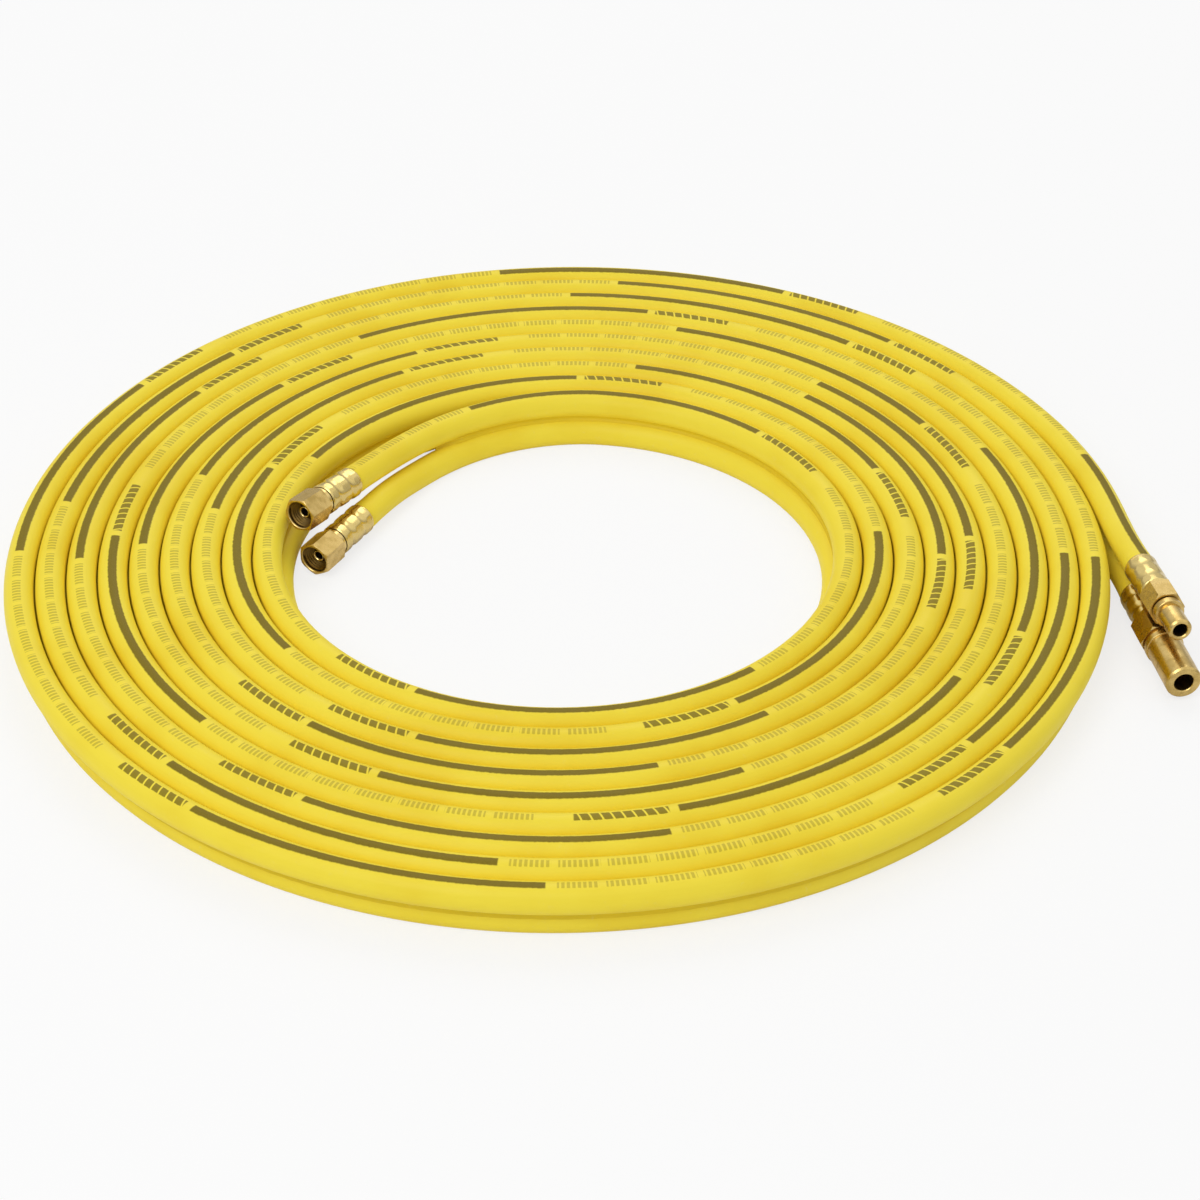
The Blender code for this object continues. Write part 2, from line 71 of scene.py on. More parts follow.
# %% Measures of the coil
COIL_CENTRE = Vector((-11.7, -2.6, 0.0)) * MM
LINE_OD = 9.9 * MM
PITCH = 10.45 * MM
START_RADIUS = 91.7 * MM
START_ANGLE = math.radians(206.4)
LEAN = 3.36 * MM
LOWER_Z = 3.95 * MM
UPPER_Z = 13.90 * MM
LEAD_IN_LAP = 0.26
LEAD_OUT_LAP = 227 / 24
RISE_LAP = 9.36


def spiral(lap, inward, height):
    """Point of the spiral after so many laps, moved towards its centre by inward."""
    angle = START_ANGLE - 2 * math.pi * lap
    radius = START_RADIUS + PITCH * lap - inward
    return COIL_CENTRE + Vector((radius * math.cos(angle), radius * math.sin(angle), height))


def upper_at(lap):
    lift = 0.78 * MM * (max(0.0, 0.183 - lap) / 0.053) ** 2
    lift += 1.3 * MM * (max(0.0, lap - RISE_LAP) / 0.098) ** 2
    inward = 158 * MM * max(0.0, LEAD_IN_LAP - lap) ** 1.5
    return spiral(lap, inward, UPPER_Z + lift)


def lower_at(lap):
    lift = 0.25 * MM * (max(0.0, 0.17 - lap) / 0.035) ** 2
    inward = LEAN + 188 * MM * max(0.0, LEAD_IN_LAP - lap) ** 1.5
    return spiral(lap, inward, LOWER_Z + lift)


print("outermost turn's radius:", round((START_RADIUS + PITCH * LEAD_OUT_LAP) / MM, 1), "mm")

# %% [markdown]
# ## Where the fittings sit
# Each fitting has an axis: its mouth is at 0, and distances grow towards the hose. Keeping the four
# axes in one table lets the hose lines, the brass bodies and the ferrules all use the same places.

# %% Axes of the four fittings
def fitting_axis(mouth, aim, hose_end, ferrule_end):
    aim = Vector(aim).normalized()
    return {
        "mouth": COIL_CENTRE + Vector(mouth) * MM,
        "aim": aim,
        "hose_end": hose_end * MM,
        "ferrule_end": ferrule_end * MM,
    }


UPPER_INNER = fitting_axis((-84.6, -36.7, 20.4), (0.045, 1.0, -0.09), 14.8, 30.0)
LOWER_INNER = fitting_axis((-77.0, -40.4, 6.55), (0.0, 1.0, 0.0), 14.8, 30.0)
UPPER_OUTER = fitting_axis((204.634, 45.955, 21.0), (-0.617, 0.784, -0.0766), 25.8, 41.5)
LOWER_OUTER = fitting_axis((210.4, 38.1, 7.0), (-0.6165, 0.787, -0.0152), 36.4, 51.5)


def along(axis, distance):
    return axis["mouth"] + axis["aim"] * distance


# %% [markdown]
# ## One smooth centre line for each hose line
# A line starts inside its inner ferrule, runs straight for a hose's width, bends gently into the
# spiral, and does the same in reverse at the outer end. The gentle bends are Bezier curves whose
# handles follow the straight piece and the spiral, so no kink shows where they meet.

# %% Trace the two centre lines
def heading(line_at, lap):
    return (line_at(lap + 0.002) - line_at(lap - 0.002)).normalized()


def gentle_bend(start, start_heading, end, end_heading, count=30):
    reach = (end - start).length * 0.36
    handles = (start + start_heading * reach, end - end_heading * reach)
    return interpolate_bezier(start, *handles, end, count)


def centre_line(line_at, inner, outer, free_lap):
    """Closely spaced points from the hose's end in one ferrule to its end in the other."""
    start = along(inner, inner["ferrule_end"] + LINE_OD)
    last = along(outer, outer["ferrule_end"] + LINE_OD)
    points = [along(inner, inner["hose_end"])]
    points += gentle_bend(start, inner["aim"], line_at(free_lap), heading(line_at, free_lap))
    steps = int((LEAD_OUT_LAP - free_lap) * 240)
    points += [line_at(free_lap + (LEAD_OUT_LAP - free_lap) * k / steps) for k in range(1, steps)]
    points += gentle_bend(line_at(LEAD_OUT_LAP), heading(line_at, LEAD_OUT_LAP), last, -outer["aim"])
    return points + [along(outer, outer["hose_end"])]


def lengths_along(points):
    """Distance from the first point to each point."""
    found = [0.0]
    for a, b in zip(points, points[1:]):
        found.append(found[-1] + (b - a).length)
    return found


upper_points = centre_line(upper_at, UPPER_INNER, UPPER_OUTER, 0.13)
lower_points = centre_line(lower_at, LOWER_INNER, LOWER_OUTER, 0.135)

# %% [markdown]
# ## Rings along a line
# A round hose could be a bevelled curve, but then the print could not follow it exactly. So each
# line is a tube of rings placed every 5 mm, and every 1 mm near the fittings, where the crimped
# ferrule squeezes the rubber. Each ring stands square to the path with its first point underneath.

# %% Space the rings
SIDES = 28
BORE_RADIUS = 2.9 * MM
BORE_DEPTH = 16 * MM


def ring_distances(length):
    near = [k * MM for k in range(0, 46)]
    count = int((length - 0.092) / 0.005)
    middle = [0.046 + (length - 0.092) * k / count for k in range(count + 1)]
    return near + middle + [length - d for d in reversed(near)]


def points_at(points, distances):
    """Points of a path at these distances from its start."""
    marks = lengths_along(points)
    found = []
    index = 0
    for distance in distances:
        while index < len(points) - 2 and marks[index + 1] < distance:
            index += 1
        share = (distance - marks[index]) / (marks[index + 1] - marks[index])
        found.append(points[index].lerp(points[index + 1], min(1.0, share)))
    return found


def stands(points):
    """For each point: the path's direction, the level direction away from the coil, and up."""
    found = []
    for index, point in enumerate(points):
        before = points[max(0, index - 1)]
        after = points[min(len(points) - 1, index + 1)]
        ahead = (after - before).normalized()
        outward = Vector((0, 0, 1)).cross(ahead).normalized()
        found.append((ahead, outward, ahead.cross(outward)))
    return found


# %% [markdown]
# ## Skin a path with a mesh
# The same small skinning step makes the hose lines and the web between them: it joins each ring
# to the next with four-sided faces, closes both ends, and writes a UV map. U is the distance along
# the hose in metres and V goes once round it, which is what the print and the rubber's fine
# lengthwise marks need.

# %% Skin rings into a mesh
def skinned(name, rings, marks, turns):
    """rings is a list of rings of points, marks their distances along, turns the V of each point."""
    sides = len(rings[0])
    corners = [point for ring in rings for point in ring]
    faces, wrap = [], []
    for row in range(len(rings) - 1):
        for k in range(sides):
            after = (k + 1) % sides
            low, high = row * sides, (row + 1) * sides
            faces.append((low + k, low + after, high + after, high + k))
            v0, v1 = turns[row][k], turns[row][k + 1]
            w0, w1 = turns[row + 1][k], turns[row + 1][k + 1]
            wrap += [(marks[row], v0), (marks[row], v1), (marks[row + 1], w1), (marks[row + 1], w0)]
    last = (len(rings) - 1) * sides
    faces += [tuple(reversed(range(sides))), tuple(range(last, last + sides))]
    wrap += [(marks[0], 0.0)] * sides + [(marks[-1], 0.0)] * sides
    mesh = bpy.data.meshes.new(name)
    mesh.from_pydata(corners, [], faces)
    layer = mesh.uv_layers.new(name="along_and_around")
    layer.data.foreach_set("uv", [value for pair in wrap for value in pair])
    piece = bpy.data.objects.new(name, mesh)
    bpy.context.collection.objects.link(piece)
    work_on(piece)
    bpy.ops.object.mode_set(mode="EDIT")
    bpy.ops.mesh.select_all(action="SELECT")
    bpy.ops.mesh.normals_make_consistent(inside=False)
    bpy.ops.object.mode_set(mode="OBJECT")
    bpy.ops.object.shade_smooth_by_angle(angle=math.radians(40))
    return piece


def work_on(piece):
    """Deselects all and makes this piece the only one that operators act on."""
    bpy.ops.object.select_all(action="DESELECT")
    piece.select_set(True)
    bpy.context.view_layer.objects.active = piece


# %% [markdown]
# ## The two hose lines
# On the real hose each line is a rubber tube of about 10 mm over a 4.8 mm bore. The crimped ferrule
# squeezes its end, and the rubber swells a little just outside. The lower line lies on the floor,
# so its underside is pressed flat there. The print on the upper line wanders a few degrees from
# the very top, because nobody winds a hose without a little twist.

# %% Build the hose lines
def eased(value, low, high):
    share = min(1.0, max(0.0, (value - low) / (high - low)))
    return share * share * (3 - 2 * share)


def radius_at(distance, length, inner, outer):
    """Squeezed in the ferrules, a slight swelling just outside them, and then the full size."""
    free = distance - (inner["ferrule_end"] - inner["hose_end"])
    free = min(free, length - distance - (outer["ferrule_end"] - outer["hose_end"]))
    swelling = 0.14 * MM * math.exp(-(((free - 2.6 * MM) / (2.0 * MM)) ** 2))
    return 4.70 * MM + 0.27 * MM * eased(free, -0.5 * MM, 1.5 * MM) + swelling


def twist_at(distance, length):
    """How far the print has turned from the top, in radians."""
    wander = 0.07 * math.sin(distance * 9.1) + 0.05 * math.sin(distance * 23.7 + 1.3)
    return wander + 0.2 * eased(distance, length - 0.30, length - 0.02)


def hose_line(name, points, inner, outer, twisted):
    length = lengths_along(points)[-1]
    distances = ring_distances(length)
    centres = points_at(points, distances)
    rings, marks, turns = [], [], []
    for distance, centre, (ahead, outward, up) in zip(distances, centres, stands(centres)):
        radius = radius_at(distance, length, inner, outer)
        shift = twist_at(distance, length) / (2 * math.pi) if twisted else 0.0
        rings.append(ring_of(centre, outward, up, radius))
        marks.append(distance)
        turns.append([k / SIDES - shift for k in range(SIDES + 1)])
    for end, inwards in ((0, 1), (-1, -1)):
        ahead, outward, up = stands(centres)[end]
        mouth = ring_of(centres[end], outward, up, BORE_RADIUS)
        floor = ring_of(centres[end] + ahead * BORE_DEPTH * inwards, outward, up, BORE_RADIUS)
        where = 0 if end == 0 else len(rings)
        extra = [floor, mouth] if end == 0 else [mouth, floor]
        rings[where:where] = extra
        marks[where:where] = [marks[end]] * 2
        turns[where:where] = [turns[end]] * 2
    return skinned(name, rings, marks, turns)


def ring_of(centre, outward, up, radius):
    """Points of a ring from its underside round by the coil's inner side, never below the floor."""
    found = []
    for k in range(SIDES):
        angle = -math.pi + 2 * math.pi * k / SIDES
        point = centre + (up * math.cos(angle) + outward * math.sin(angle)) * radius
        point.z = max(point.z, 0.05 * MM)
        found.append(point)
    return found


upper_line = hose_line("upper_air_line", upper_points, UPPER_INNER, UPPER_OUTER, True)
lower_line = hose_line("lower_air_line", lower_points, LOWER_INNER, LOWER_OUTER, False)
for line in (upper_line, lower_line):
    print(line.name, len(line.data.polygons), "faces")

# %% [markdown]
# ## The web between the lines
# The two lines are extruded as one, joined by a rubber web that fills the groove between them with
# a soft fillet, fuller on the outer side of the coil than on the inner side. It stops short of the
# ends, where the lines have been slit apart so that each can go to its own fitting. It is skinned
# along the same spiral, and thins out at the slit.

# %% Build the bond web
WEB_FIRST_LAP = 0.147
WEB_LAST_LAP = 9.4
OUTER_FILLET = [(2.7, 0.0), (2.85, 0.75), (3.3, 1.60), (1.5, 1.25)]
INNER_FILLET = [(-1.5, 1.25), (-2.6, 1.05), (-2.1, 0.45), (-1.95, 0.0)]


def web_section():
    """The web's outline as (outward, towards the upper line) in mm, going once round."""
    upper_half = OUTER_FILLET + INNER_FILLET
    lower_half = [(x, -y) for x, y in reversed(upper_half[1:-1])]
    return upper_half + lower_half


def bond_web():
    section = web_section()
    rings, marks, turns = [], [], []
    count = 1500
    travelled = 0.0
    for k in range(count + 1):
        lap = WEB_FIRST_LAP + (WEB_LAST_LAP - WEB_FIRST_LAP) * k / count
        low, high = lower_at(lap), upper_at(lap)
        middle = (low + high) / 2
        towards = (high - low).normalized()
        ahead = heading(upper_at, lap)
        outward = towards.cross(ahead).normalized()
        thin = 0.12 + 0.88 * eased(lap, WEB_FIRST_LAP, WEB_FIRST_LAP + 0.02)
        thin *= 0.12 + 0.88 * (1 - eased(lap, WEB_LAST_LAP - 0.012, WEB_LAST_LAP))
        rings.append([middle + (outward * x * thin + towards * y) * MM for x, y in section])
        travelled += (middle - marks_from).length if k else 0.0
        marks_from = middle
        marks.append(travelled)
        turns.append([j / len(section) for j in range(len(section) + 1)])
    return skinned("bond_web_rubber", rings, marks, turns)


web = bond_web()
print("web outline has", len(web_section()), "corners")

# %% [markdown]
# ## The cords ride on the coil's body
# Both lines are free hoses of known length and width: the photograph shows the coil from end to
# end, so the turns that it shows are the length. They ride on the body that holds the coil.

# %% Ride and replace
for piece, node in ((upper_line, "upper_hose_line"), (lower_line, "lower_hose_line"), (web, "bond_web")):
    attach(piece, "hose_assembly")
    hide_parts(node)

# %% [markdown]
# ## Turning brass
# The fittings are turned from brass bar on a lathe and then milled. The same order works here: the
# outline of the wall is drawn by extruding one point from corner to corner, and the spin operator
# carries it once round the axis. Merging doubles closes the seam, and the normals are made to
# point outwards. Each blank is made at the origin, along Z, and goes to its place when finished.

# %% Turn a blank on the lathe
def turned(name, outline, steps=48):
    """Spins a closed outline of (distance from the mouth, radius) in mm once round Z."""
    bpy.ops.object.select_all(action="DESELECT")
    bpy.ops.mesh.primitive_plane_add(size=MM)
    piece = bpy.context.object
    piece.name = name
    piece.data.name = name
    corners = [Vector((radius, 0, height)) * MM for height, radius in outline]
    bpy.ops.object.mode_set(mode="EDIT")
    bpy.ops.mesh.merge(type="CENTER")
    bpy.ops.transform.translate(value=corners[0])
    for before, after in zip(corners, corners[1:] + corners[:1]):
        bpy.ops.mesh.extrude_vertices_move(TRANSFORM_OT_translate={"value": after - before})
    bpy.ops.mesh.select_all(action="SELECT")
    bpy.ops.mesh.spin(steps=steps, angle=2 * math.pi, center=(0, 0, 0), axis=(0, 0, 1))
    bpy.ops.mesh.select_all(action="SELECT")
    bpy.ops.mesh.remove_doubles(threshold=0.002 * MM)
    bpy.ops.mesh.normals_make_consistent(inside=False)
    bpy.ops.object.mode_set(mode="OBJECT")
    return piece


# %% [markdown]
# ## Milling flats
# Nuts and bodies get six flats so that a spanner fits, and the crimping jaws leave eight shallow
# flats on a ferrule. A flat is what is left when a block is cut away beside the axis, so a cube is
# placed there and a Boolean takes it off, once for each side.

# %% Mill flats on a blank
def mill_flats(piece, sides, across, low, high, turn=0.0):
    """Cuts so many flats, this far across in mm, between two distances from the mouth."""
    for side in range(sides):
        angle = turn + 2 * math.pi * side / sides
        reach = (across / 2 + 4) * MM
        place = (reach * math.cos(angle), reach * math.sin(angle), (low + high) / 2 * MM)
        bpy.ops.object.select_all(action="DESELECT")
        bpy.ops.mesh.primitive_cube_add(size=1, location=place, rotation=(0, 0, angle))
        block = bpy.context.object
        block.scale = (8 * MM, 30 * MM, (high - low) * MM)
        cut = piece.modifiers.new("flat", "BOOLEAN")
        cut.object = block
        cut.solver = "EXACT"
        work_on(piece)
        bpy.ops.object.modifier_apply(modifier=cut.name)
        bpy.data.objects.remove(block)


def ease_edges(piece, width):
    """Breaks the sharp edges by this much in mm, and keeps the big faces flat in the light."""
    edges = piece.modifiers.new("broken_edges", "BEVEL")
    edges.width = width * MM
    edges.segments = 2
    edges.limit_method = "ANGLE"
    edges.angle_limit = math.radians(32)
    work_on(piece)
    bpy.ops.object.modifier_apply(modifier=edges.name)
    bpy.ops.object.shade_smooth_by_angle(angle=math.radians(28))
    flat = piece.modifiers.new("flat_faces", "WEIGHTED_NORMAL")
    flat.weight = 100
    flat.keep_sharp = True
    bpy.ops.object.modifier_apply(modifier=flat.name)


# %% [markdown]
# ## Setting a finished piece on its axis
# Before a piece leaves the lathe, the place of each of its points is stored on the mesh. The brass
# material reads that, so its turning marks stay square to the piece's own axis wherever it points.
# Then the piece is moved to its fitting, and the move is applied to the mesh itself.

# %% Set pieces on their axes
def set_on(piece, axis, body, node, turn=0.0):
    bench = piece.data.attributes.new("bench_place", "FLOAT_VECTOR", "POINT")
    bench.data.foreach_set("vector", [value for corner in piece.data.vertices for value in corner.co])
    facing = axis["aim"].to_track_quat("Z", "Y").to_matrix().to_4x4()
    piece.matrix_world = Matrix.Translation(axis["mouth"]) @ facing @ Matrix.Rotation(turn, 4, "Z")
    work_on(piece)
    bpy.ops.object.transform_apply(location=True, rotation=True, scale=True)
    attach(piece, body)
    if node:
        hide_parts(node)
    print(piece.name, len(piece.data.polygons), "faces")
    return piece


def copied(piece, name):
    """A copy with its own mesh."""
    twin = piece.copy()
    twin.data = piece.data.copy()
    twin.name = name
    twin.data.name = name
    bpy.context.collection.objects.link(twin)
    return twin


# %% [markdown]
# ## The swivel nuts
# A swivel nut is a hexagon with its corners chamfered at both ends, a thread inside, and a small
# shoulder that holds it on the stem. The blank is turned with the chamfers and the bore, and the
# six flats are milled afterwards, which leaves the curved chamfer lines seen on real nuts.

# %% Make the nuts
NUT_FLATS = 11.1
NUT_LONG = 11.0


def nut_outline():
    corner = NUT_FLATS / math.sqrt(3) + 0.05
    outer = [(NUT_LONG, corner - 0.75), (NUT_LONG - 0.45, corner), (0.45, corner), (0.0, corner - 0.75)]
    bore = [(0.0, 5.05), (0.5, 4.72), (7.5, 4.72), (8.0, 4.1), (8.8, 3.25), (NUT_LONG, 3.25)]
    return outer + bore


upper_nut = turned("upper_nut_brass", nut_outline())
mill_flats(upper_nut, 6, NUT_FLATS, -1, NUT_LONG + 1)
ease_edges(upper_nut, 0.12)
lower_nut = copied(upper_nut, "lower_nut_brass")

# %% [markdown]
# ## The thread inside a nut
# A thread is one ridge that climbs the bore by a pitch each turn. A small triangle is turned by a
# Screw modifier, whose offset is the pitch, and its two open ends are filled. The ridge sits a
# little into the wall, so no gap shows at its root.

# %% Cut the thread
THREAD_PITCH = 1.06
UPPER_NUT_TURN = math.radians(16)  # how the upper nut happens to stand


def thread_ridge(name, low, turns, root, crest):
    bpy.ops.object.select_all(action="DESELECT")
    bpy.ops.mesh.primitive_plane_add(size=MM)
    ridge = bpy.context.object
    ridge.name = name
    ridge.data.name = name
    tooth = [(root, low), (crest, low + 0.43), (crest, low + 0.58), (root, low + 1.0)]
    corners = [Vector((radius, 0, height)) * MM for radius, height in tooth]
    bpy.ops.object.mode_set(mode="EDIT")
    bpy.ops.mesh.merge(type="CENTER")
    bpy.ops.transform.translate(value=corners[0])
    for before, after in zip(corners, corners[1:] + corners[:1]):
        bpy.ops.mesh.extrude_vertices_move(TRANSFORM_OT_translate={"value": after - before})
    bpy.ops.mesh.select_all(action="SELECT")
    bpy.ops.mesh.remove_doubles(threshold=0.002 * MM)
    bpy.ops.object.mode_set(mode="OBJECT")
    climb = ridge.modifiers.new("climb", "SCREW")
    climb.screw_offset = THREAD_PITCH * MM
    climb.iterations = turns
    climb.steps = climb.render_steps = 32
    bpy.ops.object.modifier_apply(modifier=climb.name)
    bpy.ops.object.mode_set(mode="EDIT")
    bpy.ops.mesh.select_all(action="SELECT")
    bpy.ops.mesh.fill_holes(sides=0)
    bpy.ops.mesh.normals_make_consistent(inside=False)
    bpy.ops.object.mode_set(mode="OBJECT")
    bpy.ops.object.shade_smooth_by_angle(angle=math.radians(30))
    return ridge


upper_thread = thread_ridge("upper_nut_thread", 0.55, 6, 4.8, 4.2)
lower_thread = copied(upper_thread, "lower_nut_thread")
set_on(upper_nut, UPPER_INNER, "upper_nut", "upper_swivel_nut", UPPER_NUT_TURN)
set_on(upper_thread, UPPER_INNER, "upper_nut", None, UPPER_NUT_TURN)
set_on(lower_nut, LOWER_INNER, "lower_nut", "lower_swivel_nut")
set_on(lower_thread, LOWER_INNER, "lower_nut", None)

# %% [markdown]
# ## The stems inside the nuts
# Looking into a nut, one sees the stem's cone nose with the air passage through it. Behind the nose
# are a collar, which the nut pulls against, and a narrow neck. The tail goes into the hose and has
# barbs. It is all one turning with a bore right through.

# %% Turn the stems
def tail_outline(start, barbs=4):
    """Barbs from the tail's far end back to its root."""
    outline = []
    for barb in reversed(range(barbs)):
        low = start + barb * 3.6
        outline += [(low + 3.4, 2.2), (low + 0.2, 2.6)]
    return outline


def stem_outline():
    outer = tail_outline(14.8) + [(14.5, 3.2), (13.0, 3.2), (13.0, 5.0), (11.5, 5.0), (11.5, 2.75)]
    outer += [(7.4, 2.75), (7.4, 3.5), (7.2, 3.7), (5.8, 3.7), (3.1, 2.15), (2.8, 1.95)]
    return outer + [(2.8, 1.75), (3.2, 1.5), (outer[0][0], 1.5)]


upper_stem = turned("upper_stem_brass", stem_outline())
ease_edges(upper_stem, 0.08)
lower_stem = copied(upper_stem, "lower_stem_brass")
set_on(upper_stem, UPPER_INNER, "hose_assembly", "upper_female_stem")
set_on(lower_stem, LOWER_INNER, "hose_assembly", "lower_female_stem")

# %% [markdown]
# ## The crimped ferrules
# A ferrule is a thin brass sleeve that eight jaws squeeze onto the hose. The jaws leave rounded
# grooves round it and a shallow flat under each jaw on the lands between. The grooves belong to
# the turned outline, and the flats are milled into the lands. In the photograph most ferrules have
# two clear grooves between three bright lands, and the upper outer one is nearly smooth.

# %% Turn and crimp the ferrules
def ferrule_outline(start, end, radius, crimps, wide, deep):
    outer = [(end, radius - 0.45), (end - 0.15, radius - 0.15), (end - 0.5, radius)]
    room = end - start - 3.0
    for crimp in reversed(range(crimps)):
        middle = start + 1.5 + room * (crimp + 0.5) / crimps
        for step, share in ((1.0, 0.0), (0.7, 0.33), (0.36, 0.8), (0.0, 1.0), (-0.36, 0.8), (-0.7, 0.33), (-1.0, 0.0)):
            outer.append((middle + step * wide, radius - deep * share))
    outer += [(start + 0.4, radius), (start, radius - 0.4)]
    return outer + [(start, 3.5), (start + 1.2, 3.5), (start + 1.2, 5.0), (end, 5.0)]


def ferrule(name, start, end, radius, crimps, wide, deep):
    """A sleeve with so many grooves, each this far from middle to edge and this deep, in mm."""
    sleeve = turned(name, ferrule_outline(start, end, radius, crimps, wide, deep))
    mill_flats(sleeve, 8, 2 * (radius - 0.13), start + 1.0, end - 1.0, math.radians(11))
    ease_edges(sleeve, 0.06)
    return sleeve


upper_sleeve = ferrule("upper_inner_ferrule", 13.3, 30.0, 5.55, 2, 2.0, 0.42)
lower_sleeve = copied(upper_sleeve, "lower_inner_ferrule")
set_on(upper_sleeve, UPPER_INNER, "hose_assembly", "upper_female_ferrule")
set_on(lower_sleeve, LOWER_INNER, "hose_assembly", "lower_female_ferrule", 0.2)
upper_cuff = ferrule("upper_outer_ferrule", 24.3, 41.5, 5.65, 2, 2.2, 0.16)
lower_cuff = ferrule("lower_outer_ferrule", 34.9, 51.5, 5.65, 2, 2.0, 0.38)
set_on(upper_cuff, UPPER_OUTER, "hose_assembly", "upper_male_ferrule")
set_on(lower_cuff, LOWER_OUTER, "hose_assembly", "lower_male_ferrule", 0.3)

# %% [markdown]
# ## The male fittings
# At the outer end each line has a plain male fitting: a smooth spigot with a chamfered mouth, a
# raised ring, a groove, and a hexagon for the spanner. The lower one is the bigger. Both are turned
# with the spigot and ring, and only the hexagon's length is milled.

# %% Turn and mill the male bodies
def male_outline(spigot, spigot_long, ring, ring_long, bore, hexagon, hex_start, hex_end):
    corner = hexagon / math.sqrt(3) + 0.05
    neck = spigot - 0.6
    outer = tail_outline(hex_end + 1.8) + [(hex_end + 1.5, 3.2), (hex_end, 3.2), (hex_end, corner - 0.75)]
    outer += [(hex_end - 0.45, corner), (hex_start + 0.45, corner), (hex_start, corner - 0.75)]
    outer += [(hex_start, neck), (spigot_long + ring_long, neck)]
    outer += [(spigot_long + ring_long, ring - 0.15), (spigot_long + ring_long - 0.2, ring)]
    outer += [(spigot_long + 0.2, ring), (spigot_long, ring - 0.15), (spigot_long, spigot)]
    outer += [(0.7, spigot), (0.0, spigot - 0.6)]
    lead = [(0.0, bore + 0.35), (0.4, bore), (11.0, bore), (12.6, 1.5)]
    return outer + lead + [(outer[0][0], 1.5)]


def male_body(name, measures, hexagon, hex_start, hex_end):
    body = turned(name, male_outline(*measures, hexagon, hex_start, hex_end))
    mill_flats(body, 6, hexagon, hex_start - 0.1, hex_end + 0.1, math.radians(30))
    ease_edges(body, 0.1)
    return body


upper_body = male_body("upper_male_brass", (4.0, 10.8, 5.0, 2.7, 2.35), 11.1, 14.0, 24.0)
lower_body = male_body("lower_male_brass", (6.0, 19.8, 6.45, 2.4, 3.2), 12.7, 23.4, 34.6)
set_on(upper_body, UPPER_OUTER, "hose_assembly", "upper_male_body")
set_on(lower_body, LOWER_OUTER, "hose_assembly", "lower_male_body")

# %% [markdown]
# ## Tools for building materials
# Node materials are easier to read when a sum is written as a sum. These few helpers add a node,
# feed it numbers or sockets, and hand back its output.

# %% Helpers for nodes
def add_node(tree, kind, feeds=(), **settings):
    """Adds a node, with feeds as {input name or index: number, colour or socket}."""
    node = tree.nodes.new(kind)
    for name, value in settings.items():
        setattr(node, name, value)
    for where, value in dict(feeds).items():
        if isinstance(value, bpy.types.NodeSocket):
            tree.links.new(value, node.inputs[where])
        else:
            node.inputs[where].default_value = value
    return node


def sum_of(tree, operation, a, b=0.0, c=0.0):
    feeds = {0: a, 1: b, 2: c}
    return add_node(tree, "ShaderNodeMath", feeds, operation=operation).outputs[0]


def between(tree, value, low, high):
    """0 below low and 1 above high, with a smooth step."""
    feeds = {"Value": value, "From Min": low, "From Max": high}
    return add_node(tree, "ShaderNodeMapRange", feeds, interpolation_type="SMOOTHSTEP").outputs["Result"]


def mix_colours(tree, share, a, b):
    node = add_node(tree, "ShaderNodeMix", {0: share, 6: a, 7: b}, data_type="RGBA")
    return node.outputs[2]


def noise(tree, place, scale, detail=2.0, roughness=0.5):
    feeds = {"Vector": place, "Scale": scale, "Detail": detail, "Roughness": roughness}
    return add_node(tree, "ShaderNodeTexNoise", feeds).outputs[0]


def new_group(name, inputs, outputs):
    """A shader node group with these named inputs and outputs, as {name: (socket kind, value)}."""
    tree = bpy.data.node_groups.new(name, "ShaderNodeTree")
    for label, (kind, value) in inputs.items():
        socket = tree.interface.new_socket(label, in_out="INPUT", socket_type=kind)
        if value is not None:
            socket.default_value = value
    for label, kind in outputs.items():
        tree.interface.new_socket(label, in_out="OUTPUT", socket_type=kind)
    return tree, tree.nodes.new("NodeGroupInput").outputs, tree.nodes.new("NodeGroupOutput").inputs


def new_material(name):
    material = bpy.data.materials.new(name)
    material.use_nodes = True
    return material, material.node_tree, material.node_tree.nodes["Principled BSDF"]


def place_group(tree, group, feeds):
    node = tree.nodes.new("ShaderNodeGroup")
    node.node_tree = group
    for where, value in feeds.items():
        if isinstance(value, bpy.types.NodeSocket):
            tree.links.new(value, node.inputs[where])
        else:
            node.inputs[where].default_value = value
    return node


def give(piece, material):
    piece.data.materials.clear()
    piece.data.materials.append(material)


# %% [markdown]
# ## The look of the yellow rubber
# The cover is a smooth, slightly waxy yellow rubber. Close up it has faint lengthwise marks from
# the extruder, a fine grain, patches that lean towards orange, and a trace of pale dust. Both
# lines and the web share it, so it is one node group, fed with the place on the hose.

